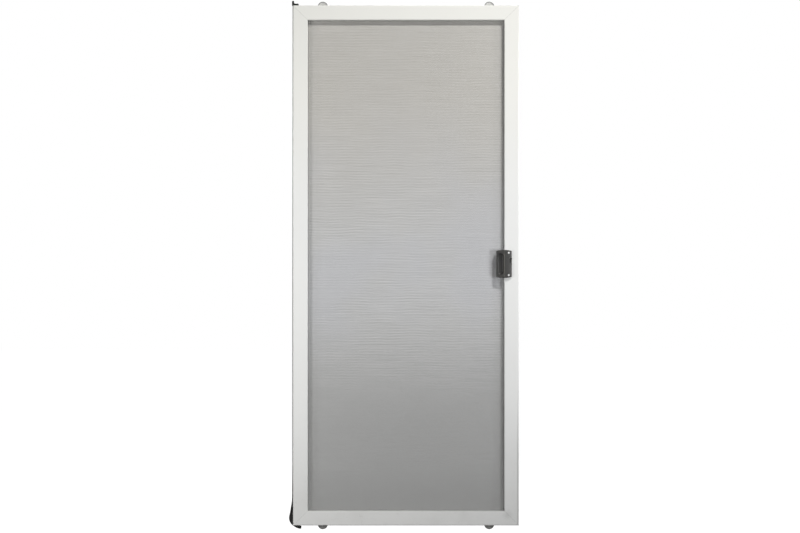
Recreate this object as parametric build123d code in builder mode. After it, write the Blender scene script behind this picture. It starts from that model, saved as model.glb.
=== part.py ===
from build123d import *

import math
import os

os.makedirs("parts", exist_ok=True)

# Sliding screen door. X runs across the door, Y from its front to its back and Z up.
# The origin is on the underside of the bottom rail, at mid width and mid depth.

# Door
door_width = 882.0
door_height = 2030.0

# Section shared by the stiles and rails, from the door's outer edge inward
frame_depth = 25.4
frame_wall = 1.2
tube_width = 45.0
shelf_width = 6.0
groove_width = 4.0
bead_width = 2.0
screen_setback = 17.0
groove_depth = 6.0
front_edge_radius = 3.0
back_edge_radius = 1.6

# Insect screen and the cord that holds it in the groove
screen_thickness = 0.6
screen_overlap = 0.2
screen_cells_across = 12
screen_cells_up = 14
screen_open_share = 0.31
spline_clearance = 0.1

# Roller wheels and axles
roller_inset = 116.0
wheel_radius = 19.5
wheel_width = 6.0
wheel_projection = 15.0
tread_width = 3.2
tread_depth = 2.2
wheel_web = 2.6
wheel_rim = 3.2
wheel_hub = 3.0
axle_radius = 2.5
running_clearance = 0.05
wheel_side_clearance = 0.5
wheel_end_clearance = 5.0

# Roller carriers, housings and adjusting screws
adjust_in = 10.0
adjust_out = 3.0
carrier_sheet = 1.0
carrier_boss = 6.0
carrier_shoulder = 12.0
carrier_gap = 2.5
guide_clearance = 0.3
housing_sheet = 1.0
housing_lip = 4.0
housing_tab = 10.0
adjuster_radius = 2.0
adjuster_head = 3.4
adjuster_head_height = 1.0
adjuster_hole = 4.2
adjuster_gap = 6.5
adjuster_lug = 5.0

# Pulls on the lock stile
pull_width = 61.0
pull_height = 110.0
pull_inset = 28.0
pull_center_height = 1021.0
pull_crown = 4.3
pull_corner = 3.5
pull_edge_height = 6.5
pull_middle_height = 10.5
pull_edge_round = 2.5
pull_overhang_gap = 0.6
front_cup_sink = 6.0
back_cup_sink = 0.4
cup_rim = 4.0
cup_end_rim = 13.0
cup_ridge = 5.0
cup_floor = 2.4
cup_draft = 1.8
cup_floor_radius = 4.5
pull_screw_inset = 12.0
pull_screw_end = 11.5
pull_screw_radius = 2.0
pull_screw_clearance = 0.2
pull_screw_head = 4.0
pull_screw_head_height = 2.2
pull_screw_sunk = 1.2
pull_screw_bite = 4.5

# Latch
latch_inset = 8.0
latch_shaft = 4.0
latch_shaft_clearance = 0.3
latch_travel = 55.0
lever_rest_angle = 78.0
lever_radius = 22.0
lever_knob = 4.0
lever_plate = 2.6
lever_play = 0.5
lever_boss = 7.0
lever_proud = 1.2
hook_sheet = 3.0
hook_reach = 10.0
hook_bar = 9.0
hook_boss = 6.5
hook_setback = 4.0
hook_notch = 3.5
hook_slot_margin = 3.0

# Edge seal on the trailing stile
seal_base = 1.8
seal_base_depth = 9.0
seal_fin = 1.4
seal_fin_depth = 11.0
seal_loose_from = 240.0
seal_end_out = 4.5
seal_end_rise = 19.0
seal_end_width = 8.0
seal_end_foot = 26.0
seal_end_foot_height = 8.5
seal_end_radius = 2.5
ribbon_thickness = 1.6

# Places worked out from the sizes above
half_width = door_width / 2
front_y = -frame_depth / 2
back_y = frame_depth / 2
shelf_end = tube_width + shelf_width
face_width = shelf_end + groove_width + bead_width
screen_y = front_y + screen_setback
axle_depth = wheel_radius - wheel_projection
pocket_half_length = wheel_radius + wheel_end_clearance
cheek_inner = wheel_width / 2 + wheel_side_clearance
cheek_outer = cheek_inner + carrier_sheet
pocket_half_width = cheek_outer + guide_clearance
bridge_depth = axle_depth + wheel_radius + carrier_gap
pocket_depth = bridge_depth + carrier_sheet + adjust_in + carrier_gap
adjuster_offset = pocket_half_length + housing_sheet + adjuster_gap
pull_right_x = half_width - pull_inset
pull_left_x = pull_right_x - pull_width
pull_middle_x = (pull_left_x + pull_right_x) / 2
pull_screw_x = pull_right_x - pull_screw_inset
pull_screw_rise = pull_height / 2 - pull_screw_end
pull_screw_heights = (
    pull_center_height - pull_screw_rise,
    pull_center_height + pull_screw_rise,
)
latch_pivot = Vector(pull_right_x - latch_inset, front_y, pull_center_height)
slot_distance = half_width - frame_wall - latch_pivot.X
hook_radius = slot_distance + frame_wall + hook_reach
hook_y = front_y + frame_wall + hook_setback


def save(part, node):
    """Labels a finished piece and writes it to its own file."""
    part.label = node
    export_step(part, f"parts/{node}.step")


def facing(x, y, z, outward=-1):
    """Plane square to Y whose normal points out of the door's front, or its back."""
    return Plane(origin=(x, y, z), x_dir=(-outward, 0, 0), z_dir=(0, outward, 0))


def frame_member(corner, inward, along, length):
    """Mitred hollow extrusion. Its section runs inward from the door's outer edge."""
    start = Plane(origin=corner, x_dir=inward, z_dir=along)
    steps = (
        (tube_width, frame_depth),
        (shelf_end, screen_setback),
        (face_width, screen_setback - groove_depth),
    )
    with BuildPart() as member:
        with BuildSketch(start) as outline:
            for width, depth in steps:
                Rectangle(width, depth, align=(Align.MIN, Align.MIN))
            with Locations((face_width - bead_width, 0)):
                Rectangle(bead_width, screen_setback, align=(Align.MIN, Align.MIN))
            fillet(outline.vertices().group_by(Axis.Y)[0], front_edge_radius)
            back_edge = outline.vertices().group_by(Axis.Y)[-1].sort_by(Axis.X)[0]
            fillet(back_edge, back_edge_radius)
        extrude(amount=length)
        with BuildSketch(start) as hollow:
            with Locations((frame_wall, frame_wall)):
                for width, depth in steps:
                    Rectangle(
                        width - 2 * frame_wall,
                        depth - 2 * frame_wall,
                        align=(Align.MIN, Align.MIN),
                    )
            fillet(hollow.vertices().group_by(Axis.Y)[0], front_edge_radius - frame_wall)
        extrude(amount=length, mode=Mode.SUBTRACT)
        with BuildSketch(Plane(origin=corner, x_dir=along, z_dir=(0, -1, 0))):
            side = face_width * face_side(along, inward)
            with BuildLine():
                Polyline(
                    (0, 0),
                    (length, 0),
                    (length - face_width, side),
                    (face_width, side),
                    close=True,
                )
            make_face()
        extrude(amount=-frame_depth, mode=Mode.INTERSECT)
    return member


def face_side(along, inward):
    """Tells on which side of a member's outer edge the door lies, seen from the front."""
    across = Vector(0, -1, 0).cross(Vector(*along))
    return 1 if across.dot(Vector(*inward)) > 0 else -1


def roller_seat(side, edge_z, inward):
    """Plane on a rail's outer face under a roller: x to the door's middle, z into the rail."""
    return Plane(
        origin=(side * (half_width - roller_inset), 0, edge_z),
        x_dir=(-side, 0, 0),
        z_dir=(0, 0, inward),
    )


def side_plane(seat):
    """Plane through a roller's middle, with x along the rail and y into it."""
    return Plane(origin=seat.origin, x_dir=seat.x_dir, z_dir=seat.x_dir.cross(seat.z_dir))


def roller_openings(edge_z, inward):
    """Shapes of the wheel slots and adjuster holes through a rail's outer wall."""
    with BuildPart() as openings:
        for side in (-1, 1):
            with BuildSketch(roller_seat(side, edge_z, inward)):
                SlotOverall(2 * pocket_half_length, 2 * pocket_half_width)
                with Locations((adjuster_offset, 0)):
                    Circle(adjuster_hole)
            extrude(amount=frame_wall)
    return openings


def roller_housing(seat):
    """Folded sheet bracket inside the rail. It guides the carrier and seats the adjuster."""
    flange_start = -pocket_half_length - housing_tab
    flange_end = adjuster_offset + housing_tab
    flange_half = pocket_half_width + housing_sheet + housing_lip
    lug_room = bridge_depth - adjust_out - carrier_gap
    with BuildPart() as housing:
        with BuildSketch(seat.offset(frame_wall)):
            with Locations(((flange_start + flange_end) / 2, 0)):
                RectangleRounded(flange_end - flange_start, 2 * flange_half, housing_lip / 2)
        extrude(amount=housing_sheet)
        with BuildSketch(seat.offset(frame_wall)):
            Rectangle(
                2 * (pocket_half_length + housing_sheet),
                2 * (pocket_half_width + housing_sheet),
            )
        extrude(amount=pocket_depth - frame_wall + housing_sheet)
        with BuildSketch(seat.offset(frame_wall)):
            Rectangle(2 * pocket_half_length, 2 * pocket_half_width)
            with Locations((adjuster_offset, 0)):
                Circle(adjuster_radius + guide_clearance)
        extrude(amount=pocket_depth - frame_wall, mode=Mode.SUBTRACT)
        with BuildSketch(seat.offset(lug_room)):
            with Locations((pocket_half_length, 0)):
                Rectangle(3 * housing_sheet, 2 * pocket_half_width)
        extrude(amount=pocket_depth - lug_room, mode=Mode.SUBTRACT)
    return housing


def roller_carrier(seat):
    """Fork that holds the wheel's axle, with a lug threaded on the adjuster."""
    fork_depth = bridge_depth - axle_depth + carrier_boss
    with BuildPart() as carrier:
        with BuildSketch(side_plane(seat)):
            with Locations((0, axle_depth)):
                Circle(carrier_boss)
            with Locations((0, bridge_depth + carrier_sheet)):
                Rectangle(
                    2 * carrier_shoulder,
                    2 * carrier_sheet,
                    align=(Align.CENTER, Align.MAX),
                )
            make_hull()
        extrude(amount=cheek_outer, both=True)
        with BuildSketch(seat.offset(bridge_depth - fork_depth)):
            Rectangle(3 * carrier_shoulder, 2 * cheek_inner)
        extrude(amount=fork_depth, mode=Mode.SUBTRACT)
        with BuildSketch(seat.offset(bridge_depth)):
            with Locations((-carrier_shoulder, 0)):
                Rectangle(
                    carrier_shoulder + adjuster_offset + adjuster_lug,
                    2 * cheek_outer,
                    align=(Align.MIN, Align.CENTER),
                )
        extrude(amount=carrier_sheet)
        with BuildSketch(seat.offset(bridge_depth)):
            with Locations((adjuster_offset, 0)):
                Circle(adjuster_radius + running_clearance)
        extrude(amount=carrier_sheet, mode=Mode.SUBTRACT)
        with BuildSketch(side_plane(seat)):
            with Locations((0, axle_depth)):
                Circle(axle_radius)
        extrude(amount=cheek_outer, both=True, mode=Mode.SUBTRACT)
    return carrier


def roller_axle(seat):
    """Plain pin riveted through both cheeks of the carrier."""
    with BuildPart() as axle:
        with BuildSketch(side_plane(seat)):
            with Locations((0, axle_depth)):
                Circle(axle_radius)
        extrude(amount=cheek_outer, both=True)
    return axle


def roller_wheel(seat):
    """Turned wheel with a grooved tread that runs on the track's rib."""
    centre = seat.origin + seat.z_dir * axle_depth
    bore = axle_radius + running_clearance
    hub = axle_radius + wheel_hub
    dish = (wheel_width - wheel_web) / 2
    with BuildPart() as wheel:
        with BuildSketch(Plane(origin=centre, x_dir=seat.z_dir, z_dir=seat.x_dir)):
            with Locations((bore, 0)):
                Rectangle(wheel_radius - bore, wheel_width, align=(Align.MIN, Align.CENTER))
            with Locations((wheel_radius, 0)):
                Trapezoid(
                    tread_width,
                    tread_depth,
                    left_side_angle=60,
                    rotation=90,
                    align=(Align.CENTER, Align.MIN),
                    mode=Mode.SUBTRACT,
                )
            with Locations((hub, wheel_web / 2), (hub, -wheel_web / 2 - dish)):
                Rectangle(
                    wheel_radius - wheel_rim - hub,
                    dish,
                    align=(Align.MIN, Align.MIN),
                    mode=Mode.SUBTRACT,
                )
        revolve(axis=Axis(centre, (0, 1, 0)))
    return wheel


def roller_adjuster(seat):
    """Adjusting screw: its head shows in the rail's hole and its shank carries the lug."""
    with BuildPart() as adjuster:
        with BuildSketch(seat.offset(frame_wall)):
            with Locations((adjuster_offset, 0)):
                Circle(adjuster_head)
        extrude(amount=-adjuster_head_height)
        with BuildSketch(seat.offset(frame_wall)):
            with Locations((adjuster_offset, 0)):
                Circle(adjuster_radius)
        extrude(amount=pocket_depth - frame_wall)
    return adjuster


def pull(face_y, outward, base_x, cup_sink):
    """Moulded pull: a crowned plate on the stile and a finger cup that overhangs the screen.

    The body is where its section and its outline meet, rounded along the front edge.
    """
    across = Plane(
        origin=(0, face_y, pull_center_height - pull_height / 2),
        x_dir=(1, 0, 0),
        z_dir=(0, 0, 1),
    )
    face = facing(pull_middle_x, face_y, pull_center_height)
    edge = outward * pull_edge_height
    middle = outward * pull_middle_height
    sink = -outward * cup_sink
    cup_left = pull_left_x + cup_rim
    cup_right = base_x - pull_overhang_gap - cup_ridge / 2
    cup_depth = pull_middle_height + cup_sink - cup_floor
    with BuildPart() as body:
        with BuildSketch(across):
            with BuildLine():
                Polyline(
                    (pull_right_x, edge),
                    (pull_right_x, 0),
                    (base_x - pull_overhang_gap, 0),
                    (base_x - pull_overhang_gap, sink),
                    (pull_left_x, sink),
                    (pull_left_x, edge),
                )
                ThreePointArc((pull_left_x, edge), (pull_middle_x, middle), (pull_right_x, edge))
            make_face()
        extrude(amount=pull_height)
        with BuildSketch(face) as front:
            straight = pull_height / 2 - pull_crown
            half = pull_width / 2
            with BuildLine():
                Line((-half, -straight), (-half, straight))
                ThreePointArc((-half, straight), (0, pull_height / 2), (half, straight))
                Line((half, straight), (half, -straight))
                ThreePointArc((half, -straight), (0, -pull_height / 2), (-half, -straight))
            make_face()
            fillet(front.vertices(), pull_corner)
        extrude(amount=frame_depth, both=True, mode=Mode.INTERSECT)
        crown = body.faces().sort_by_distance((pull_middle_x, face_y + middle, pull_center_height))[0]
        fillet(crown.edges(), pull_edge_round)
        cup = finger_cup(face_y + middle, outward, cup_left, cup_right, cup_depth)
        add(cup.part, mode=Mode.SUBTRACT)
    return body


def finger_cup(top_y, outward, left_x, right_x, depth):
    """Hollow with drafted walls, a rounded floor and half-round ends, standing upright."""
    half = (right_x - left_x) / 2
    straight = pull_height / 2 - cup_end_rim - half
    centre = Vector((left_x + right_x) / 2, top_y, pull_center_height)
    with BuildPart() as cup:
        for end in (-1, 1):
            middle = centre + Vector(0, 0, end * straight)
            with BuildSketch(Plane(origin=middle, x_dir=(1, 0, 0), z_dir=(0, 0, 1))) as profile:
                with BuildLine():
                    Polyline(
                        (0, 0),
                        (half, 0),
                        (half - cup_draft, -outward * depth),
                        (0, -outward * depth),
                        close=True,
                    )
                make_face()
                floor_edge = (half - cup_draft, -outward * depth)
                fillet(profile.vertices().sort_by_distance(floor_edge)[0], cup_floor_radius)
            revolve(axis=Axis(middle, (0, 1, 0)))
            with BuildSketch(Plane(origin=middle, x_dir=(1, 0, 0), z_dir=(0, 0, 1))):
                add(profile.sketch_local)
                mirror(about=Plane.YZ)
            extrude(amount=-end * straight)
    return cup


def pull_screw_holes(y, radius, depth, outward=-1):
    """Round shapes at both pull screws, from a face at y inward."""
    with BuildPart() as holes:
        with BuildSketch(facing(0, y, 0, outward)):
            with Locations(*((-outward * pull_screw_x, z) for z in pull_screw_heights)):
                Circle(radius)
        extrude(amount=-depth)
    return holes


def pull_screw(z):
    """Through screw that clamps both pulls to the stile."""
    seat_y = front_y - pull_edge_height + pull_screw_sunk
    with BuildPart() as screw:
        with BuildSketch(facing(pull_screw_x, seat_y, z)):
            Circle(pull_screw_radius)
        extrude(amount=-(back_y + pull_screw_bite - seat_y))
        with BuildSketch(facing(pull_screw_x, seat_y, z)):
            Circle(pull_screw_head)
        extrude(amount=pull_screw_head_height, taper=15)
    return screw


# Left stile, and the right stile with its latch slot and screw holes
left_stile = frame_member((-half_width, front_y, 0), (1, 0, 0), (0, 0, 1), door_height)
save(left_stile.part, "left_stile")

stile_blank = frame_member((half_width, front_y, door_height), (-1, 0, 0), (0, 0, -1), door_height)
slot_low = pull_center_height - hook_bar / 2 - hook_slot_margin
slot_high = (
    pull_center_height
    + math.sqrt(hook_radius**2 - slot_distance**2)
    + hook_bar / 2
    + hook_slot_margin
)
with BuildPart() as right_stile:
    add(stile_blank.part)
    add(
        pull_screw_holes(front_y, pull_screw_radius + pull_screw_clearance, frame_depth).part,
        mode=Mode.SUBTRACT,
    )
    with BuildSketch(facing(*latch_pivot)):
        Circle(latch_shaft + latch_shaft_clearance)
    extrude(amount=-2 * frame_wall, mode=Mode.SUBTRACT)
    with BuildSketch(
        Plane(
            origin=(half_width, hook_y + hook_sheet / 2, (slot_low + slot_high) / 2),
            x_dir=(0, 0, 1),
            z_dir=(1, 0, 0),
        )
    ):
        SlotOverall(slot_high - slot_low, hook_sheet + 2 * hook_slot_margin)
    extrude(amount=-2 * frame_wall, mode=Mode.SUBTRACT)
save(right_stile.part, "right_stile")

# Rails, with a wheel slot and an adjuster hole for each roller
bottom_blank = frame_member((half_width, front_y, 0), (0, 0, 1), (-1, 0, 0), door_width)
with BuildPart() as bottom_rail:
    add(bottom_blank.part)
    add(roller_openings(0, 1).part, mode=Mode.SUBTRACT)
save(bottom_rail.part, "bottom_rail")

top_blank = frame_member((-half_width, front_y, door_height), (0, 0, -1), (1, 0, 0), door_width)
with BuildPart() as top_rail:
    add(top_blank.part)
    add(roller_openings(door_height, -1).part, mode=Mode.SUBTRACT)
save(top_rail.part, "top_rail")

# Insect screen, lying on the beads at the back of the frame's lip. The solid is open in a
# plain grid, by the share that the real mesh is open.
screen_margin = face_width - bead_width + screen_overlap
screen_width = door_width - 2 * screen_margin
screen_height = door_height - 2 * screen_margin
cell_width = screen_width / screen_cells_across
cell_height = screen_height / screen_cells_up
with BuildPart() as insect_screen:
    with BuildSketch(facing(0, screen_y, door_height / 2)):
        Rectangle(screen_width, screen_height)
        with GridLocations(cell_width, cell_height, screen_cells_across, screen_cells_up):
            Rectangle(
                screen_open_share * cell_width,
                screen_open_share * cell_height,
                mode=Mode.SUBTRACT,
            )
    extrude(amount=-screen_thickness)
save(insect_screen.part, "insect_screen")

# One cord fills the groove all the way round
groove_middle = face_width - bead_width - groove_width / 2
spline_radius = groove_width / 2 - spline_clearance
spline_y = screen_y - groove_depth + spline_radius
spline_right = half_width - groove_middle
spline_top = door_height - groove_middle
with BuildPart() as screen_spline:
    with BuildLine(facing(0, spline_y, 0)):
        Polyline(
            (0, groove_middle),
            (spline_right, groove_middle),
            (spline_right, spline_top),
            (0, spline_top),
        )
    with BuildSketch(Plane(origin=(0, spline_y, groove_middle), x_dir=(0, 1, 0), z_dir=(1, 0, 0))):
        Circle(spline_radius)
    sweep(transition=Transition.RIGHT)
    mirror(about=Plane.YZ)
save(screen_spline.part, "screen_spline")

# Four rollers, each adjusted by its own screw
roller_places = {
    "bottom_left": (-1, 0, 1),
    "bottom_right": (1, 0, 1),
    "top_left": (-1, door_height, -1),
    "top_right": (1, door_height, -1),
}
for place, (side, edge_z, inward) in roller_places.items():
    seat = roller_seat(side, edge_z, inward)
    save(roller_housing(seat).part, f"{place}_roller_housing")
    save(roller_carrier(seat).part, f"{place}_roller_carrier")
    save(roller_axle(seat).part, f"{place}_roller_axle")
    save(roller_wheel(seat).part, f"{place}_wheel")
    save(roller_adjuster(seat).part, f"{place}_roller_adjuster")

# Front pull, with counterbored screw holes and room for the latch lever
front_blank = pull(front_y, -1, half_width - face_width, front_cup_sink)
lever_swing = lever_radius + lever_knob + lever_play
lever_room = lever_boss + lever_play
head_room = pull_middle_height - pull_edge_height + pull_screw_sunk
with BuildPart() as front_pull:
    add(front_blank.part)
    add(
        pull_screw_holes(
            front_y - pull_middle_height,
            pull_screw_radius + pull_screw_clearance,
            pull_middle_height,
        ).part,
        mode=Mode.SUBTRACT,
    )
    add(
        pull_screw_holes(
            front_y - pull_middle_height, pull_screw_head + pull_screw_clearance, head_room
        ).part,
        mode=Mode.SUBTRACT,
    )
    with BuildSketch(facing(*latch_pivot)):
        with Locations((-lever_room, -lever_room)):
            Rectangle(
                lever_swing + lever_room,
                lever_swing + lever_room,
                align=(Align.MIN, Align.MIN),
            )
    extrude(amount=lever_plate + 2 * lever_play, mode=Mode.SUBTRACT)
    with BuildSketch(facing(*latch_pivot)):
        with Locations((-lever_play, lever_knob)):
            Rectangle(lever_swing, lever_swing - lever_knob, align=(Align.MIN, Align.MIN))
    extrude(amount=pull_middle_height, mode=Mode.SUBTRACT)
save(front_pull.part, "front_pull")

# Back pull, which the pull screws bite into
back_blank = pull(back_y, 1, half_width - tube_width, back_cup_sink)
with BuildPart() as back_pull:
    add(back_blank.part)
    add(
        pull_screw_holes(back_y, pull_screw_radius, pull_screw_bite, 1).part,
        mode=Mode.SUBTRACT,
    )
save(back_pull.part, "back_pull")

for name, z in zip(("lower", "upper"), pull_screw_heights):
    save(pull_screw(z).part, f"{name}_pull_screw")

# Latch: a thumb lever under the front pull turns a hook inside the lock stile
lever_angle = math.radians(lever_rest_angle)
lever_plane = Plane(
    origin=latch_pivot - Vector(0, lever_play, 0),
    x_dir=(math.cos(lever_angle), 0, math.sin(lever_angle)),
    z_dir=(0, -1, 0),
)
with BuildPart() as latch_lever:
    with BuildSketch(lever_plane):
        Circle(lever_boss)
        with Locations((lever_radius, 0)):
            Circle(lever_knob)
        make_hull()
    extrude(amount=lever_plate)
    with BuildSketch(lever_plane):
        with Locations((lever_radius, 0)):
            Circle(lever_knob)
    extrude(amount=pull_edge_height + lever_proud)
    with BuildSketch(lever_plane):
        Circle(latch_shaft)
    extrude(amount=-(hook_y - front_y + hook_sheet + lever_play))
save(latch_lever.part, "latch_lever")

hook_angle = math.radians(latch_travel)
hook_plane = Plane(
    origin=(latch_pivot.X, hook_y, pull_center_height),
    x_dir=(math.cos(hook_angle), 0, math.sin(hook_angle)),
    z_dir=(0, -1, 0),
)
with BuildPart() as latch_hook:
    with BuildSketch(hook_plane):
        Circle(hook_boss)
        Rectangle(hook_radius, hook_bar, align=(Align.MIN, Align.CENTER))
        Circle(latch_shaft, mode=Mode.SUBTRACT)
        with Locations((hook_radius - 2 * hook_notch, -hook_bar / 2)):
            Circle(hook_notch, mode=Mode.SUBTRACT)
    extrude(amount=-hook_sheet)
save(latch_hook.part, "latch_hook")

# Edge seal: a base on the stile's outer face and a fin that reaches past its back
seal_front = back_y - seal_base_depth
seal_edge = -half_width - seal_base
with BuildPart() as edge_seal:
    with BuildSketch(Plane(origin=(seal_edge, seal_front, seal_loose_from))):
        Rectangle(seal_base, seal_base_depth, align=(Align.MIN, Align.MIN))
        Rectangle(seal_fin, seal_base_depth + seal_fin_depth, align=(Align.MIN, Align.MIN))
    extrude(amount=door_height - seal_loose_from)
save(edge_seal.part, "edge_seal")

# The seal's top end stands over the corner, with a foot folded along the top rail
with BuildPart() as seal_top_end:
    with BuildSketch(facing(-half_width - seal_end_out, seal_front, door_height)) as top_shape:
        Rectangle(seal_end_width, seal_end_rise, align=(Align.MIN, Align.MIN))
        Rectangle(seal_end_foot, seal_end_foot_height, align=(Align.MIN, Align.MIN))
        inner_corner = (seal_end_width, seal_end_foot_height)
        fillet(top_shape.vertices().sort_by_distance(inner_corner)[0], seal_end_radius)
        foot_end = top_shape.vertices().group_by(Axis.X)[-1]
        fillet(foot_end, seal_end_radius)
    extrude(amount=-seal_base_depth)
save(seal_top_end.part, "seal_top_end")

# Where the seal has come off, it hangs as a ribbon that twists and curls behind the corner.
# Each step: distance out of the stile's edge, height, heading, twist and breadth.
ribbon_steps = (
    (seal_base / 2, seal_loose_from, 0, 0, 20.0),
    (1.0, 140.0, 0, 2, 20.0),
    (1.2, 104.0, 0, 8, 20.0),
    (1.5, 90.0, 1, 18, 20.0),
    (1.8, 76.0, 2, 34, 19.0),
    (2.6, 60.0, 2, 54, 18.0),
    (3.9, 46.0, 0, 74, 17.0),
    (7.0, 35.0, -5, 90, 17.0),
    (8.7, 24.0, -12, 90, 17.0),
    (4.0, 13.0, -35, 90, 15.0),
    (-4.0, 5.0, -52, 90, 13.0),
    (-14.0, -2.0, -68, 90, 10.0),
    (-32.0, -7.0, -78, 90, 9.0),
)
with BuildPart() as seal_loose_end:
    for out, height, heading, twist, breadth in ribbon_steps:
        lean = math.radians(heading)
        turn = math.radians(twist)
        down = Vector(-math.sin(lean), 0, -math.cos(lean))
        level = Vector(math.cos(lean), 0, -math.sin(lean))
        broad = Vector(0, 1, 0) * math.cos(turn) + level * math.sin(turn)
        centre = Vector(-half_width - out, back_y + 1 + 4 * math.sin(turn), height)
        with BuildSketch(Plane(origin=centre, x_dir=broad, z_dir=down)):
            Rectangle(breadth, ribbon_thickness)
    loft(ruled=True)
save(seal_loose_end.part, "seal_loose_end")
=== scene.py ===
import math

import bmesh
import bpy
from mathutils import Matrix, Vector


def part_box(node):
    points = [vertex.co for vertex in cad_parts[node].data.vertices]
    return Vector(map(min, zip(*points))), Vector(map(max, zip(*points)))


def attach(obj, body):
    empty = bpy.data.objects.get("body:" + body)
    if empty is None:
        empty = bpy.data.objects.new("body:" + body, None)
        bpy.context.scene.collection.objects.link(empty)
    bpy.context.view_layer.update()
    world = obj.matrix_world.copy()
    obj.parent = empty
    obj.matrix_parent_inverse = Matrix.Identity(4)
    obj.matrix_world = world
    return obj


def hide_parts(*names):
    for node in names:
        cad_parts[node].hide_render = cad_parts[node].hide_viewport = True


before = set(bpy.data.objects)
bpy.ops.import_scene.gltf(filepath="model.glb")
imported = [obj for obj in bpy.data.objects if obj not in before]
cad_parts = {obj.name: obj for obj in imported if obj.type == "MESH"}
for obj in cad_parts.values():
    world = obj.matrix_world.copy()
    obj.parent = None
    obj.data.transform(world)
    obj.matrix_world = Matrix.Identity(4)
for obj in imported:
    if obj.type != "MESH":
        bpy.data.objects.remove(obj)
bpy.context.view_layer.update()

# Studio: a long lens straight in front of the door's middle, a pale floor just under the
# wheels, a lamp high on the right, a weak soft one on each side, and two behind.
door_width = 0.882
door_height = 2.030
front_y = -0.0127
back_y = 0.0127
door_height_px = 520.1
door_center_px = (406.0, 265.45)
picture_px = (800, 533)
pixel = door_height / door_height_px
view_distance = 14.0
sensor_width = 36.0
sight_limit = 200.0

scene = bpy.context.scene
scene.view_settings.view_transform = "Standard"

lens = bpy.data.cameras.new("camera")
lens.sensor_width = sensor_width
lens.lens = sensor_width * (view_distance + front_y) / (picture_px[0] * pixel)
lens.clip_end = sight_limit
camera = bpy.data.objects.new("camera", lens)
camera.location = (
    (picture_px[0] / 2 - door_center_px[0]) * pixel,
    -view_distance,
    door_height / 2 + (door_center_px[1] - picture_px[1] / 2) * pixel,
)
camera.rotation_euler = (math.pi / 2, 0, 0)
scene.collection.objects.link(camera)
scene.camera = camera


def hang_lamp(name, kind, place, aim, power, color):
    """Hangs a lamp at its place, pointing at its aim."""
    lamp = bpy.data.lights.new(name, kind)
    lamp.energy = power
    lamp.color = color
    stand = bpy.data.objects.new(name, lamp)
    stand.location = place
    stand.rotation_euler = (Vector(aim) - Vector(place)).to_track_quat("-Z", "Y").to_euler()
    scene.collection.objects.link(stand)
    return lamp


lamp_side = {"right": 1, "left": -1}
side_lamp_place, side_lamp_aim = Vector((1.7, -1.2, 0.95)), (0.0, 0.0, 0.8)
side_lamp_power = {"right": 17.2, "left": 18.2}
side_lamp_color = {"right": (0.97, 0.98, 1.0), "left": (1.0, 1.0, 0.99)}
side_lamp_size = 0.4
back_lamp_place, back_lamp_aim = Vector((1.9, 2.4, 1.7)), (0.0, 0.0, 1.0)
back_lamp_power, back_lamp_color = 55.0, (1.0, 1.0, 1.0)
back_lamp_size = 0.8
for hand, side in lamp_side.items():
    to_hand = Matrix.Diagonal((side, 1, 1))
    side_lamp = hang_lamp(
        f"{hand}_lamp", "AREA", to_hand @ side_lamp_place, side_lamp_aim,
        side_lamp_power[hand], side_lamp_color[hand],
    )
    side_lamp.size = side_lamp_size
    back_lamp = hang_lamp(
        f"{hand}_back_lamp", "AREA", to_hand @ back_lamp_place, back_lamp_aim,
        back_lamp_power, back_lamp_color,
    )
    back_lamp.size = back_lamp_size

high_lamp_place, high_lamp_aim = (2.37, -2.85, 5.67), (-0.07, 0.0, 1.5)
high_lamp_power, high_lamp_color = 1270.0, (1.0, 0.995, 0.975)
high_lamp_cone, high_lamp_blend = math.radians(30.6), 1.0
high_lamp_radius = 0.25
high_lamp = hang_lamp(
    "high_lamp", "SPOT", high_lamp_place, high_lamp_aim, high_lamp_power, high_lamp_color
)
high_lamp.spot_size = high_lamp_cone
high_lamp.spot_blend = high_lamp_blend
high_lamp.shadow_soft_size = high_lamp_radius


class Amount:
    """A number that varies over a surface. Python's operators on it add Math nodes."""

    def __init__(self, tree, socket):
        self.tree = tree
        self.socket = socket

    def combined(self, operation, first, second=0.0):
        node = self.tree.nodes.new("ShaderNodeMath")
        node.operation = operation
        for entry, term in zip(node.inputs, (first, second)):
            if isinstance(term, Amount):
                self.tree.links.new(term.socket, entry)
            else:
                entry.default_value = term
        return Amount(self.tree, node.outputs[0])

    def beside(self, name):
        """Another output of the node that this one comes from."""
        return Amount(self.tree, self.socket.node.outputs[name])

    def __add__(self, other):
        return self.combined("ADD", self, other)

    def __radd__(self, other):
        return self.combined("ADD", other, self)

    def __sub__(self, other):
        return self.combined("SUBTRACT", self, other)

    def __rsub__(self, other):
        return self.combined("SUBTRACT", other, self)

    def __mul__(self, other):
        return self.combined("MULTIPLY", self, other)

    def __rmul__(self, other):
        return self.combined("MULTIPLY", other, self)

    def __pow__(self, other):
        return self.combined("POWER", self, other)

    def __lt__(self, other):
        return self.combined("LESS_THAN", self, other)

    def __abs__(self):
        return self.combined("ABSOLUTE", self)


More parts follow.
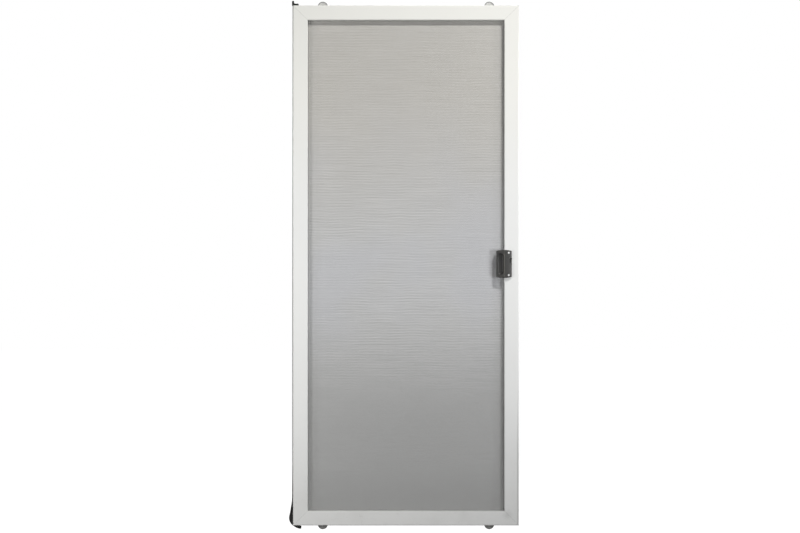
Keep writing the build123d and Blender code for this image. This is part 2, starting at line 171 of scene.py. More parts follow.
class Finish:
    """A material, or the studio's air, on its way. Every node but Math comes from add."""

    def __init__(self, name, holder=None):
        self.holder = holder or bpy.data.materials.new(name)
        self.holder.use_nodes = True
        self.tree = self.holder.node_tree
        self.tree.nodes.clear()

    def add(self, kind, settings, inputs, output=0):
        """Adds a node by its type. Its settings are made first, then its inputs are fed."""
        node = self.tree.nodes.new(kind)
        for name, value in settings.items():
            setattr(node, name, value)
        for name, value in inputs.items():
            if isinstance(value, Amount):
                self.tree.links.new(value.socket, node.inputs[name])
            else:
                node.inputs[name].default_value = value
        return Amount(self.tree, node.outputs[output]) if node.outputs else None

    def white_if_seen(self, kind, strength, otherwise):
        """Plain white for the camera and for mirror and glass rays, or else the other shader."""
        rays = self.add("ShaderNodeLightPath", {}, {}, "Is Camera Ray")
        seen = rays + rays.beside("Is Glossy Ray") + rays.beside("Is Transmission Ray")
        white = self.add(kind, {}, {"Color": (1, 1, 1, 1), "Strength": strength})
        return self.add("ShaderNodeMixShader", {}, {0: seen, 1: otherwise, 2: white})


def eased(finish, value, low, high, start=0.0, end=1.0):
    """Goes smoothly from start to end as the value goes from low to high."""
    return finish.add(
        "ShaderNodeMapRange",
        {"interpolation_type": "SMOOTHSTEP"},
        {"Value": value, 1: low, 2: high, 3: start, 4: end},
    )


def faded(finish, value, low, high):
    """Goes smoothly from one to nothing as the value goes from low to high."""
    return eased(finish, value, low, high, 1.0, 0.0)


air_color, air_strength = (0.98, 0.985, 1.0, 1), 0.036
air = Finish("studio_air", bpy.data.worlds.new("studio_air"))
scene.world = air.holder
dim_air = air.add("ShaderNodeBackground", {}, {"Color": air_color, "Strength": air_strength})
air.add("ShaderNodeOutputWorld", {}, {0: air.white_if_seen("ShaderNodeBackground", 1.0, dim_air)})

floor_z = -0.0156
floor_reach = 30.0
floor_color = (0.16, 0.16, 0.16, 1)
glow_near, glow_far = 0.95, 1.0
near_until, far_from = 1.2, 3.5
floor_mesh = bmesh.new()
bmesh.ops.create_grid(
    floor_mesh,
    x_segments=2,
    y_segments=2,
    size=floor_reach,
    matrix=Matrix.Translation((0, 0, floor_z)),
)
floor = bpy.data.objects.new("floor", bpy.data.meshes.new("floor"))
floor_mesh.to_mesh(floor.data)
floor_mesh.free()
scene.collection.objects.link(floor)
pale = Finish("floor_paint")
pale_lit = pale.add("ShaderNodeBsdfDiffuse", {}, {"Color": floor_color})
pale_dark = pale.add("ShaderNodeEmission", {}, {"Strength": 0.0})
pale_near = pale.white_if_seen("ShaderNodeEmission", glow_near, pale_dark)
pale_far = pale.white_if_seen("ShaderNodeEmission", glow_far, pale_dark)
pale_place = pale.add("ShaderNodeTexCoord", {}, {}, "Object")
pale_distance = pale.add("ShaderNodeVectorMath", {"operation": "LENGTH"}, {0: pale_place}, "Value")
pale_share = eased(pale, pale_distance, near_until, far_from)
pale_glow = pale.add("ShaderNodeMixShader", {}, {0: pale_share, 1: pale_near, 2: pale_far})
pale_both = pale.add("ShaderNodeAddShader", {}, {0: pale_lit, 1: pale_glow})
pale.add("ShaderNodeOutputMaterial", {}, {0: pale_both})
floor.data.materials.append(pale.holder)

# Stiles and rails: hollow aluminium extrusions under satin white enamel, mitred and pressed
# together at the corners, where a hairline shows. Fine die lines run along them. The lower
# ends are scuffed, with a rubbed patch by the right corner. The colour is also darkened low
# down, along the right stile's outer edge low down and along the bottom rail's top edge as
# painted shade, and tinted warmer and lighter toward the top as painted warm light.
member_width = 0.057
seam_width = 0.0006
cloud_scale, film_scale, dust_scale, peel_scale = 5.0, 14.0, 60.0, 1400.0
die_line_fine, die_line_long = 900.0, 2.0
scuff_range, film_range = (0.60, 0.74), (0.35, 0.8)
# Below this height the enamel is scuffed and filmed, and also darkened as painted shade.
wear_and_shade_until, wear_and_shade_above = 0.4, 0.1
# Painted warm light: the enamel turns warmer and lighter toward the top.
enamel_warm_from, enamel_warm_to = 1.2, 1.8
rubbed_x, rubbed_z = 0.396, 0.041
rubbed_core, rubbed_reach, rubbed_fray = 0.010, 0.036, 0.020
# Painted shade: a grey line along the right stile's outer edge, fading out higher up.
edge_shade_x = 0.4353
edge_shade_core, edge_shade_reach = 0.0008, 0.0030
edge_shade_full, edge_shade_end = 0.20, 0.60
# Painted shade: a dark line along the bottom rail's top edge.
ledge_shade_start, ledge_shade_end = 0.0535, 0.0560
ledge_shade_full, ledge_shade_gone = 0.2, 0.3
enamel_dull, enamel_bright = (0.80, 0.803, 0.795, 1), (0.86, 0.863, 0.852, 1)
enamel_warm_lit, enamel_warm_share = (0.885, 0.876, 0.82, 1), 0.6
edge_shade_gray, edge_shade_share = (0.32, 0.32, 0.31, 1), 0.7
# The film's grey also serves the painted shade low down.
film_and_shade_gray, film_share, low_shade_share = (0.66, 0.66, 0.645, 1), 0.25, 0.3
scuff_gray, scuff_share = (0.50, 0.50, 0.48, 1), 0.4
rubbed_gray, rubbed_share = (0.42, 0.42, 0.41, 1), 0.35
ledge_shade_gray, ledge_shade_share = (0.36, 0.36, 0.34, 1), 0.6
seam_gray, seam_share = (0.12, 0.12, 0.12, 1), 0.8


def noise(finish, where, scale, detail=2.0, roughness=0.5):
    return finish.add(
        "ShaderNodeTexNoise",
        {},
        {"Vector": where, "Scale": scale, "Detail": detail, "Roughness": roughness},
    )


def tinted(finish, share, first, second):
    """Goes from the first colour to the second as the share goes from 0 to 1."""
    return finish.add("ShaderNodeMix", {"data_type": "RGBA"}, {0: share, 6: first, 7: second}, 2)


def drawn_out(finish, where, factors):
    """Stretches a place along the axes whose factor is small."""
    return finish.add("ShaderNodeMapping", {}, {"Vector": where, "Scale": factors})


def raised(finish, height, strength, distance):
    return finish.add(
        "ShaderNodeBump", {}, {"Height": height, "Strength": strength, "Distance": distance}
    )


def finished(finish, inputs):
    """Closes a material with one Principled shader."""
    surface = finish.add("ShaderNodeBsdfPrincipled", {}, inputs)
    finish.add("ShaderNodeOutputMaterial", {}, {0: surface})
    return finish.holder


def dress(material, *nodes):
    """Gives carried-over CAD nodes their material."""
    for name in nodes:
        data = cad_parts[name].data
        data.materials.clear()
        data.materials.append(material)


def white_enamel(name, upright):
    enamel = Finish(name)
    where = enamel.add("ShaderNodeTexCoord", {}, {}, "Object")
    x = enamel.add("ShaderNodeSeparateXYZ", {}, {"Vector": where}, "X")
    z = x.beside("Z")
    from_side = door_width / 2 - abs(x)
    from_end = door_height / 2 - abs(z - door_height / 2)
    in_corner = (from_side < member_width) * (from_end < member_width)
    seam = faded(enamel, abs(from_side - from_end), 0.0, seam_width) * in_corner
    clouds = noise(enamel, where, cloud_scale, detail=3.0)
    if upright:
        run = (die_line_fine, die_line_fine, die_line_long)
    else:
        run = (die_line_long, die_line_fine, die_line_fine)
    lines = noise(enamel, drawn_out(enamel, where, run), 1.0)
    peel = noise(enamel, where, peel_scale)
    dust = noise(enamel, where, dust_scale, detail=4.0, roughness=0.65)
    # Toward the bottom: scuffs and a film of dirt, and a plain darkening by height that is painted
    # shade.
    low = eased(enamel, z, 0.0, wear_and_shade_until, 1.0, wear_and_shade_above)
    scuffs = eased(enamel, dust, *scuff_range) * low
    film = eased(enamel, noise(enamel, where, film_scale, detail=3.0), *film_range) * low
    rub_distance = ((x - rubbed_x) ** 2.0 + (z - rubbed_z) ** 2.0) ** 0.5
    rub_distance = rub_distance + dust * rubbed_fray
    rub = faded(enamel, rub_distance, rubbed_core, rubbed_reach)
    # Painted warm light: warmer and lighter toward the top.
    enamel_warm_light = eased(enamel, z, enamel_warm_from, enamel_warm_to)
    # Painted shade: a grey line along the right stile's outer edge, low down.
    from_edge_shade = abs(x - edge_shade_x)
    edge_shade = faded(enamel, from_edge_shade, edge_shade_core, edge_shade_reach)
    edge_shade = edge_shade * faded(enamel, z, edge_shade_full, edge_shade_end)
    base = tinted(enamel, clouds, enamel_dull, enamel_bright)
    base = tinted(enamel, enamel_warm_light * enamel_warm_share, base, enamel_warm_lit)
    base = tinted(enamel, edge_shade * edge_shade_share, base, edge_shade_gray)
    # The film is dirt; the plain darkening by height is painted shade.
    base = tinted(enamel, film * film_share + low * low_shade_share, base, film_and_shade_gray)
    base = tinted(enamel, scuffs * scuff_share, base, scuff_gray)
    base = tinted(enamel, rub * rubbed_share, base, rubbed_gray)
    if not upright:
        # Painted shade: a dark line along the bottom rail's top edge.
        ledge_shade = eased(enamel, z, ledge_shade_start, ledge_shade_end)
        ledge_shade = ledge_shade * faded(enamel, z, ledge_shade_full, ledge_shade_gone)
        base = tinted(enamel, ledge_shade * ledge_shade_share, base, ledge_shade_gray)
    base = tinted(enamel, seam * seam_share, base, seam_gray)
    return finished(
        enamel,
        {
            "Base Color": base,
            "Roughness": 0.34 + lines * 0.10 + scuffs * 0.2 + rub * 0.2,
            "Coat Weight": 0.15,
            "Coat Roughness": 0.25,
            "Normal": raised(enamel, lines * 0.5 + peel * 0.5 - seam * 6.0, 0.12, 0.0003),
        },
    )


dress(white_enamel("stile_enamel", True), "left_stile", "right_stile")
dress(white_enamel("rail_enamel", False), "bottom_rail", "top_rail")

# Insect screen: one stretched cloth of dense grey vinyl-coated yarn, about 22 ends and 22
# picks to the inch, welded where they cross and rolled into the frame's groove. Uneven
# picks show as faint bars across it. Its colour is darkened low down, near the sides and
# along its border as painted shade, and tinted warm toward the top as painted warm light.
screen_low, screen_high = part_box("insect_screen")
yarn_pitch = 0.00115
yarn_width = 0.00087
yarn_crown = 0.00005
bar_pitch = 0.0104
bar_wander, bar_wander_detail, bar_wander_scale = 4.0, 1.5, 0.28
streak_run, patch_run = (5.0, 5.0, 250.0), (14.0, 14.0, 30.0)
bars_from, bars_full = 0.45, 0.65
bars_ease_from, bars_ease_to = 1.6, 1.95
# Painted shade along the cloth's border, by the frame.
border_shade_start, border_shade_end = 0.0035, 0.0090
# Painted shade near the side stiles.
side_shade_reach = 0.07
# Painted shade: the yarn darkens toward the bottom, and more at the very bottom.
yarn_shade_full, yarn_shade_gone = 0.35, 0.95
yarn_foot_shade_full, yarn_foot_shade_gone = 0.04, 0.3
cool_from, cool_full, cool_ease_from, cool_ease_to = 0.5, 0.9, 1.3, 1.7
# Painted warm light: the yarn turns warmer toward the top.
yarn_warm_from, yarn_warm_to = 1.0, 1.75
yarn_dark, yarn_light = (0.350, 0.350, 0.350, 1), (0.570, 0.570, 0.569, 1)
tone_start, bar_share, cloud_share, streak_share = 0.25, 0.43, 0.2, 0.3
yarn_cool_gray, yarn_cool_share = (0.455, 0.462, 0.492, 1), 0.5
yarn_warm_gray, yarn_warm_share = (0.46, 0.422, 0.347, 1), 0.4
# Grey of the painted shade low down and near the sides.
yarn_shade_gray, yarn_shade_share, yarn_foot_shade_share, side_shade_share = (0.24, 0.24, 0.235, 1), 0.62, 0.28, 0.27
border_shade_gray, border_shade_share = (0.08, 0.08, 0.075, 1), 0.42


def yarns(mesh, length, upright, span, middle):
    """Lays one yarn, a low roof of two faces, and repeats it side by side over the span."""
    made = bmesh.ops.create_grid(mesh, x_segments=2, y_segments=1, size=0.5)
    ridge = [vert for vert in made["verts"] if abs(vert.co.x) < 0.25]
    bmesh.ops.translate(mesh, verts=ridge, vec=(0, 0, 1))
    count = int(span / yarn_pitch)
    lie = Matrix.Diagonal((yarn_width, length, yarn_crown, 1))
    lie = Matrix.Rotation(math.pi / 2, 4, "X") @ lie
    if not upright:
        lie = Matrix.Rotation(math.pi / 2, 4, "Y") @ lie
    step = Vector((yarn_pitch, 0, 0) if upright else (0, 0, yarn_pitch))
    first = middle - step * (count - 1) / 2
    bmesh.ops.transform(mesh, verts=made["verts"], matrix=Matrix.Translation(first) @ lie)
    faces = list({face for vert in made["verts"] for face in vert.link_faces})
    bmesh.ops.spin(
        mesh,
        geom=made["verts"] + faces,
        axis=(0, 1, 0),
        cent=(0, 0, 0),
        dvec=step,
        angle=0.0,
        steps=count - 1,
        use_duplicate=True,
    )


def piece_from(mesh, name, body, material, smooth=True):
    """Turns a finished bmesh into a piece that rides on its body."""
    data = bpy.data.meshes.new(name)
    mesh.to_mesh(data)
    mesh.free()
    data.materials.append(material)
    data.polygons.foreach_set("use_smooth", [smooth] * len(data.polygons))
    piece = bpy.data.objects.new(name, data)
    scene.collection.objects.link(piece)
    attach(piece, body)
    return piece


cloth_width = screen_high.x - screen_low.x
cloth_height = screen_high.z - screen_low.z
cloth_middle = (screen_low + screen_high) / 2
cloth = bmesh.new()
yarns(cloth, cloth_height, True, cloth_width, cloth_middle)
yarns(cloth, cloth_width, False, cloth_height, cloth_middle)
cloth.normal_update()
turned = [face for face in cloth.faces if face.normal.y > 0]
bmesh.ops.reverse_faces(cloth, faces=turned)

yarn = Finish("coated_yarn")
yarn_place = yarn.add("ShaderNodeTexCoord", {}, {}, "Object")
yarn_x = yarn.add("ShaderNodeSeparateXYZ", {}, {"Vector": yarn_place}, "X")
yarn_z = yarn_x.beside("Z")
yarn_from_side = cloth_width / 2 - abs(yarn_x)
yarn_from_end = cloth_height / 2 - abs(yarn_z - cloth_middle.z)
# Painted shade along the border.
yarn_border_shade = faded(yarn, yarn_from_side, border_shade_start, border_shade_end)
yarn_border_shade = yarn_border_shade + faded(yarn, yarn_from_end, border_shade_start, border_shade_end)
# Painted shade near the sides.
yarn_side_shade = faded(yarn, yarn_from_side, 0.0, side_shade_reach)
# Painted shade toward the bottom, more at the very bottom, and near the sides.
yarn_painted_shade = faded(yarn, yarn_z, yarn_shade_full, yarn_shade_gone) * yarn_shade_share
yarn_foot_shade = eased(yarn, yarn_z, yarn_foot_shade_full, yarn_foot_shade_gone, yarn_foot_shade_share, 0.0)
yarn_painted_shade = yarn_painted_shade + yarn_foot_shade + yarn_side_shade * side_shade_share
# Painted warm light toward the top.
yarn_warm_light = eased(yarn, yarn_z, yarn_warm_from, yarn_warm_to)
yarn_clouds = noise(yarn, yarn_place, 3.0, detail=3.0)
yarn_streaks = noise(yarn, drawn_out(yarn, yarn_place, streak_run), 1.0)
yarn_streaks = eased(yarn, yarn_streaks, 0.3, 0.7)
yarn_fuzz = noise(yarn, yarn_place, 900.0)
yarn_bars = yarn.add(
    "ShaderNodeTexWave",
    {"bands_direction": "Z"},
    {
        "Vector": yarn_place,
        "Scale": 0.1 * math.pi / bar_pitch,
        "Distortion": bar_wander,
        "Detail": bar_wander_detail,
        "Detail Scale": bar_wander_scale,
    },
    "Fac",
)
yarn_patches = noise(yarn, drawn_out(yarn, yarn_place, patch_run), 1.0, detail=3.0)
yarn_patches = eased(yarn, yarn_patches, 0.36, 0.6, 0.15, 1.15)
yarn_patches = yarn_patches * eased(yarn, yarn_z, bars_from, bars_full)
yarn_patches = yarn_patches * eased(yarn, yarn_z, bars_ease_from, bars_ease_to, 1.2, 0.9)
yarn_bars = (yarn_bars - 0.5) * yarn_patches
yarn_tone = yarn_bars * bar_share + yarn_clouds * cloud_share
yarn_tone = yarn_tone + yarn_streaks * streak_share + tone_start
yarn_cool = eased(yarn, noise(yarn, yarn_place, 2.2), 0.42, 0.62)
yarn_cool = yarn_cool * eased(yarn, yarn_z, cool_from, cool_full)
yarn_cool = yarn_cool * eased(yarn, yarn_z, cool_ease_from, cool_ease_to, 1.0, 0.3)
yarn_color = tinted(yarn, yarn_tone, yarn_dark, yarn_light)
yarn_color = tinted(yarn, yarn_cool * yarn_cool_share, yarn_color, yarn_cool_gray)
# Painted warm light toward the top.
yarn_color = tinted(yarn, yarn_warm_light * yarn_warm_share, yarn_color, yarn_warm_gray)
# Painted shade low down and near the sides.
yarn_color = tinted(yarn, yarn_painted_shade, yarn_color, yarn_shade_gray)
# Painted shade along the border.
yarn_color = tinted(yarn, yarn_border_shade * border_shade_share, yarn_color, border_shade_gray)
coated_yarn = finished(yarn, {"Base Color": yarn_color, "Roughness": 0.55 + yarn_fuzz * 0.15})

screen = piece_from(cloth, "screen_cloth", "door", coated_yarn, smooth=False)
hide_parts("insect_screen")

# Spline: a soft black vinyl cord with ribs along it, rolled into the groove round the
# cloth and turned at the corners without a cut.
cord_low, cord_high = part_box("screen_spline")
cord_radius = (cord_high.y - cord_low.y) / 2
cord_points = 28
rib_waist = 0.84
vinyl_dark, vinyl_light = (0.035, 0.035, 0.035, 1), (0.07, 0.07, 0.07, 1)


def picked(made, kind):
    """The vertices, edges or faces among what an operator made."""
    return [item for item in made["geom"] if isinstance(item, kind)]


cord = bmesh.new()
ring = bmesh.ops.create_circle(cord, segments=cord_points, radius=cord_radius)["verts"]
bmesh.ops.scale(cord, verts=ring[::2], vec=(rib_waist, rib_waist, 1))
corner = (cord_high.x - cord_radius, (cord_low.y + cord_high.y) / 2, cord_low.z + cord_radius)
mitre = Matrix(((-1, 0, 0, corner[0]), (0, 1, 0, corner[1]), (1, 0, 0, corner[2]), (0, 0, 0, 1)))
bmesh.ops.transform(cord, verts=ring, matrix=mitre)
cord_middle_z = (cord_low.z + cord_high.z) / 2
mitre_edges = list(cord.edges)
for normal, height in (((1, 0, 0), 0.0), ((0, 0, 1), cord_middle_z)):
    run = bmesh.ops.extrude_edge_only(cord, edges=mitre_edges)
    onto_plane = Matrix.Translation((0, 0, height)) @ Matrix.Scale(0.0, 4, normal)
    bmesh.ops.transform(cord, verts=picked(run, bmesh.types.BMVert), matrix=onto_plane)
for axis, plane in (("X", Matrix()), ("Z", Matrix.Translation((0, 0, -cord_middle_z)))):
    quarter = cord.verts[:] + cord.edges[:] + cord.faces[:]
    bmesh.ops.mirror(cord, geom=quarter, matrix=plane, axis=axis, merge_dist=1e-6)
bmesh.ops.recalc_face_normals(cord, faces=cord.faces)

vinyl = Finish("ribbed_vinyl")
vinyl_place = vinyl.add("ShaderNodeTexCoord", {}, {}, "Object")
vinyl_grain = noise(vinyl, vinyl_place, 700.0, detail=3.0)
vinyl_color = tinted(vinyl, vinyl_grain, vinyl_dark, vinyl_light)
ribbed_vinyl = finished(
    vinyl,
    {
        "Base Color": vinyl_color,
        "Roughness": 0.5 + vinyl_grain * 0.2,
        "Normal": raised(vinyl, vinyl_grain, 0.3, 0.0002),
    },
)
spline = piece_from(cord, "ribbed_spline", "door", ribbed_vinyl, smooth=False)
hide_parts("screen_spline")

# Rollers: folded housings and carriers of zinc-plated sheet, steel axles, and turned
# wheels whose rims have gone dark where they run on the track. The bottom wheels are also
# darkened as painted shade.
axle_inset = 0.116
axle_depth = 0.0045
wheel_radius = 0.0195
rim_band = 0.0036
# Painted shade: the wheels darken toward the bottom.
wheel_shade_full, wheel_shade_gone = 0.1, 1.0
wheel_shade_gray, wheel_shade_share = (0.10, 0.098, 0.092, 1), 0.75
rim_gray, rim_share = (0.035, 0.034, 0.032, 1), 0.85


def zinc(name, dark, light, metal, rim=False):
    """Passivated zinc plate: a cloudy grey metal with a faint grain."""
    plate = Finish(name)
    where = plate.add("ShaderNodeTexCoord", {}, {}, "Object")
    clouds = noise(plate, where, 120.0, detail=4.0, roughness=0.6)
    spots = noise(plate, where, 900.0)
    color = tinted(plate, clouds, dark, light)
    rough = 0.32 + clouds * 0.2
    if rim:
        x = plate.add("ShaderNodeSeparateXYZ", {}, {"Vector": where}, "X")
        across = abs(x) - (door_width / 2 - axle_inset)
        into = door_height / 2 - abs(x.beside("Z") - door_height / 2) - axle_depth
        radius = (across**2.0 + into**2.0) ** 0.5
        run = eased(plate, radius, wheel_radius - rim_band, wheel_radius - rim_band / 3)
        # Painted shade: darker toward the bottom.
        wheel_shade = eased(plate, x.beside("Z"), wheel_shade_full, wheel_shade_gone, wheel_shade_share, 0.0)
        color = tinted(plate, wheel_shade, color, wheel_shade_gray)
        color = tinted(plate, run * rim_share, color, rim_gray)
        rough = rough + run * 0.2
    return finished(
        plate,
        {
            "Base Color": color,
            "Metallic": metal,
            "Roughness": rough,
            "Normal": raised(plate, clouds * 0.6 + spots * 0.4, 0.15, 0.0003),
        },
    )


sheet_dark, sheet_light = (0.38, 0.38, 0.38, 1), (0.58, 0.58, 0.57, 1)
wheel_dark, wheel_light = (0.60, 0.60, 0.585, 1), (0.76, 0.76, 0.74, 1)
sheet_zinc = zinc("sheet_zinc", sheet_dark, sheet_light, metal=1.0)
wheel_zinc = zinc("wheel_zinc", wheel_dark, wheel_light, metal=0.25, rim=True)
places = ("bottom_left", "bottom_right", "top_left", "top_right")
for place in places:
    dress(sheet_zinc, f"{place}_roller_housing", f"{place}_roller_carrier", f"{place}_roller_axle")
    dress(wheel_zinc, f"{place}_wheel")

# Screws: two bright-plated ones that clamp the pulls through the stile, and four that
# adjust the rollers. Their heads are cold-formed, with a crossed recess.
plate_dark, plate_light = (0.70, 0.70, 0.69, 1), (0.86, 0.86, 0.85, 1)
bright_plate = zinc("bright_plate", plate_dark, plate_light, metal=1.0)
recess_cells = 7
recess_arm = 2
recess_depth = 0.55
recess_taper = 0.8
flat_share = 0.8
# Each size: head radius, head height and shank radius.
pull_screw_size = (0.0040, 0.0022, 0.0020)
adjuster_size = (0.0034, 0.0010, 0.0020)


def crossed_screw(name, node, outward, size, material):
    """Makes a screw over its CAD node: a flat top with a crossed recess, a rim and a shank."""
    head_radius, head_height, shank_radius = size
    low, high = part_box(node)
    outward = Vector(outward)
    middle = (low + high) / 2
    length = abs((high - low).dot(outward))
    flat_radius = head_radius * flat_share
    mesh = bmesh.new()
    bmesh.ops.create_grid(mesh, x_segments=recess_cells, y_segments=recess_cells, size=flat_radius)
    cell = 2 * flat_radius / recess_cells
    rim = [vert for vert in mesh.verts if vert.is_boundary]
    for vert in rim:
        vert.co = vert.co.normalized() * flat_radius
    cross = [
        face
        for face in mesh.faces
        if min(abs(face.calc_center_median().x), abs(face.calc_center_median().y)) < cell / 2
        and face.calc_center_median().length < (recess_arm + 0.5) * cell
    ]
    edges = [edge for edge in mesh.edges if edge.is_boundary]
    sunk = picked(bmesh.ops.extrude_face_region(mesh, geom=cross), bmesh.types.BMVert)
    bmesh.ops.delete(mesh, geom=cross, context="FACES_ONLY")
    bmesh.ops.translate(mesh, verts=sunk, vec=(0, 0, -recess_depth * head_height))
    bmesh.ops.scale(mesh, verts=sunk, vec=(recess_taper, recess_taper, 1))
    shoulders = (
        (head_radius * 0.94, head_height * 0.10),
        (head_radius, head_height * 0.30),
        (head_radius, head_height),
        (shank_radius, head_height),
        (shank_radius, length),
    )
    reach = flat_radius
    for radius, depth in shoulders:
        grown = bmesh.ops.extrude_edge_only(mesh, edges=edges)
        edges = picked(grown, bmesh.types.BMEdge)
        loop = picked(grown, bmesh.types.BMVert)
        bmesh.ops.scale(mesh, verts=loop, vec=(radius / reach, radius / reach, 1))
        level = loop[0].co.z
        bmesh.ops.translate(mesh, verts=loop, vec=(0, 0, -depth - level))
        reach = radius
    bmesh.ops.contextual_create(mesh, geom=edges)
    bmesh.ops.recalc_face_normals(mesh, faces=mesh.faces)
    stand = Matrix.Translation(middle + outward * length / 2)
    turn = outward.to_track_quat("Z", "Y").to_matrix().to_4x4()
    bmesh.ops.transform(mesh, verts=mesh.verts, matrix=stand @ turn)
    piece = piece_from(mesh, name, "door", material, smooth=False)
    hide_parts(node)


for end in ("lower", "upper"):
    crossed_screw(
        f"{end}_crossed_screw", f"{end}_pull_screw", (0, -1, 0), pull_screw_size,
        bright_plate,
    )
for place in places:
    outward = (0, 0, -1) if place.startswith("bottom") else (0, 0, 1)
    crossed_screw(
        f"{place}_crossed_adjuster", f"{place}_roller_adjuster", outward, adjuster_size,
        sheet_zinc,
    )

# Pulls and latch: injection-moulded black plastic with a fine spark-eroded grain, with a
# painted highlight along the ridge beside the finger cup, broken up by the wear noise, and a
# pressed steel hook inside the stile.
ridge_x = 0.3835
ridge_half = 0.0022
plastic_dark, plastic_light = (0.011, 0.011, 0.010, 1), (0.030, 0.029, 0.027, 1)
# Colour of the painted highlight on the ridge.
ridge_highlight_gray = (0.13, 0.125, 0.11, 1)
plastic = Finish("black_plastic")
plastic_place = plastic.add("ShaderNodeTexCoord", {}, {}, "Object")
plastic_x = plastic.add("ShaderNodeSeparateXYZ", {}, {"Vector": plastic_place}, "X")
plastic_grain = noise(plastic, plastic_place, 1500.0)
plastic_wear = noise(plastic, plastic_place, 45.0, detail=4.0, roughness=0.6)
# Painted highlight: a paler line along the ridge, broken up by the wear noise.
plastic_ridge = faded(plastic, abs(plastic_x - ridge_x), 0.0, ridge_half)
plastic_ridge_highlight = plastic_ridge * eased(plastic, plastic_wear, 0.3, 0.65)
plastic_color = tinted(plastic, plastic_wear, plastic_dark, plastic_light)
plastic_color = tinted(plastic, plastic_ridge_highlight, plastic_color, ridge_highlight_gray)
black_plastic = finished(
    plastic,
    {
        "Base Color": plastic_color,
        "Roughness": 0.34 + plastic_wear * 0.18,
        "Normal": raised(plastic, plastic_grain, 0.25, 0.0002),
    },
)
dress(black_plastic, "front_pull", "back_pull", "latch_lever")
dress(sheet_zinc, "latch_hook")

# Edge seal: a black flexible vinyl strip on the left stile's outer face, with its top end
# bent over the corner. Its foot has come off low down, and the end hangs twisted and curled.
seal_dark, seal_light = (0.006, 0.006, 0.006, 1), (0.020, 0.020, 0.019, 1)
rubber = Finish("seal_vinyl")
rubber_place = rubber.add("ShaderNodeTexCoord", {}, {}, "Object")
rubber_bloom = noise(rubber, rubber_place, 30.0, detail=4.0, roughness=0.6)
rubber_grain = noise(rubber, rubber_place, 900.0)
rubber_color = tinted(rubber, rubber_bloom, seal_dark, seal_light)
seal_vinyl = finished(
    rubber,
    {
        "Base Color": rubber_color,
        "Roughness": 0.5 + rubber_bloom * 0.2,
        "Specular IOR Level": 0.25,
        "Normal": raised(rubber, rubber_grain, 0.2, 0.0002),
    },
)


def extruded(name, node, points, start, along, edge_round, parted=(0, 0, 0)):
    """Seal stock cut to length. Its first end may stand a little off what carries it."""
    mesh = bmesh.new()
    profile = mesh.faces.new([mesh.verts.new(point) for point in points])
    bmesh.ops.bevel(
        mesh,
        geom=profile.verts[:],
        offset=edge_round,
        affect="VERTICES",
        segments=3,
        profile=0.5,
        material=-1,
    )
    drawn = bmesh.ops.extrude_face_region(mesh, geom=mesh.faces[:], use_keep_orig=True)
    end = picked(drawn, bmesh.types.BMVert)
    bmesh.ops.translate(mesh, verts=end, vec=Vector(along) - Vector(parted))
    bmesh.ops.translate(mesh, verts=mesh.verts, vec=Vector(start) + Vector(parted))
    bmesh.ops.recalc_face_normals(mesh, faces=mesh.faces)
    piece = piece_from(mesh, name, "door", seal_vinyl, smooth=False)
    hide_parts(node)


strip_low, strip_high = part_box("edge_seal")
strip_round = 0.0002
strip_parted = (-0.0010, 0, 0)
strip_profile = (
    (0.0, 0.0, 0.0),
    (-0.0016, 0.0002, 0.0),
    (-0.0023, 0.0016, 0.0),
    (-0.0016, 0.0034, 0.0),
    (-0.0012, 0.0062, 0.0),
    (-0.0018, 0.0082, 0.0),
    (-0.0014, 0.0112, 0.0),
    (-0.0012, 0.0199, 0.0),
    (-0.0005, 0.0199, 0.0),
    (-0.0004, 0.0092, 0.0),
    (0.0, 0.0089, 0.0),
)
strip_height = strip_high.z - strip_low.z
extruded(
    "edge_strip", "edge_seal", strip_profile,
    (strip_high.x, strip_low.y, strip_low.z), (0, 0, strip_height), strip_round, strip_parted,
)

bend_low, bend_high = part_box("seal_top_end")
bend_round = 0.0010
bend_profile = (
    (0.0, 0.0, 0.0),
    (0.0260, 0.0, 0.0),
    (0.0258, 0.0, 0.0068),
    (0.0245, 0.0, 0.0083),
    (0.0180, 0.0, 0.0079),
    (0.0105, 0.0, 0.0085),
    (0.0082, 0.0, 0.0108),
    (0.0078, 0.0, 0.0188),
    (0.0004, 0.0, 0.0190),
    (0.0, 0.0, 0.0090),
)
bend_depth = bend_high.y - bend_low.y
extruded(
    "bent_seal_end", "seal_top_end", bend_profile,
    bend_low, (0, bend_depth, 0), bend_round,
)

ribbon_thickness = 0.0016
ribbon_behind = 0.001
ribbon_swing = 0.004
ribbon_smoothing = 2
edge_crease = 0.9
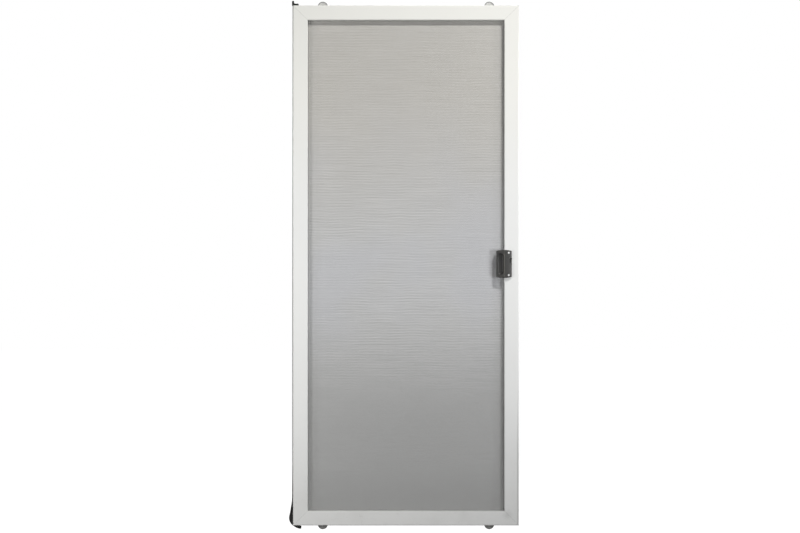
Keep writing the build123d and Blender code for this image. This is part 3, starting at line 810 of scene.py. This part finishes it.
# Each step: distance out of the stile's edge, height, heading, twist and breadth.
ribbon_steps = (
    (0.0019, 0.240, 0, 1, 0.0200),
    (0.0024, 0.177, 0, 3, 0.0200),
    (0.0025, 0.140, 0, 5, 0.0200),
    (0.0018, 0.104, 0, 9, 0.0200),
    (0.0019, 0.090, 1, 19, 0.0200),
    (0.0021, 0.076, 2, 35, 0.0190),
    (0.0030, 0.060, 2, 55, 0.0180),
    (0.0046, 0.046, 0, 75, 0.0170),
    (0.0078, 0.035, -5, 90, 0.0172),
    (0.0084, 0.0215, -8, 90, 0.0172),
    (0.0040, 0.0105, -45, 90, 0.0165),
    (-0.0040, 0.0030, -55, 90, 0.0150),
    (-0.0110, -0.0022, -62, 90, 0.0140),
    (-0.0210, -0.0081, -72, 90, 0.0130),
    (-0.0318, -0.0091, -82, 90, 0.0115),
)


def ribbon_section(out, height, heading, twist, breadth):
    """Matrix that puts a unit square across the ribbon at one of its steps."""
    lean = math.radians(heading)
    turn = math.radians(twist)
    down = Vector((-math.sin(lean), 0, -math.cos(lean)))
    level = Vector((math.cos(lean), 0, -math.sin(lean)))
    broad = Vector((0, 1, 0)) * math.cos(turn) + level * math.sin(turn)
    thin = down.cross(broad)
    behind = back_y + ribbon_behind + ribbon_swing * math.sin(turn)
    centre = Vector((-door_width / 2 - out, behind, height))
    columns = (broad * breadth, thin * ribbon_thickness, down, centre)
    rows = [[column[axis] for column in columns] for axis in range(3)]
    return Matrix(rows + [[0, 0, 0, 1]])


ribbon = bmesh.new()
bmesh.ops.create_grid(ribbon, x_segments=1, y_segments=1, size=0.5)
section = ribbon_section(*ribbon_steps[0])
bmesh.ops.transform(ribbon, verts=ribbon.verts, matrix=section)
ribbon_rim = ribbon.edges[:]
for step in ribbon_steps[1:]:
    grown = bmesh.ops.extrude_edge_only(ribbon, edges=ribbon_rim)
    ribbon_rim = picked(grown, bmesh.types.BMEdge)
    following = ribbon_section(*step)
    carry = following @ section.inverted()
    bmesh.ops.transform(ribbon, verts=picked(grown, bmesh.types.BMVert), matrix=carry)
    section = following
bmesh.ops.contextual_create(ribbon, geom=ribbon_rim)
bmesh.ops.recalc_face_normals(ribbon, faces=ribbon.faces)
crease = ribbon.edges.layers.float.new("crease_edge")
for edge in ribbon.edges:
    edge[crease] = edge_crease if edge.calc_face_angle(0.0) > 1.0 else 0.0
loose_end = piece_from(ribbon, "loose_seal_end", "door", seal_vinyl)
rounded = loose_end.modifiers.new("rounded", "SUBSURF")
rounded.levels = ribbon_smoothing
rounded.render_levels = ribbon_smoothing
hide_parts("seal_loose_end")
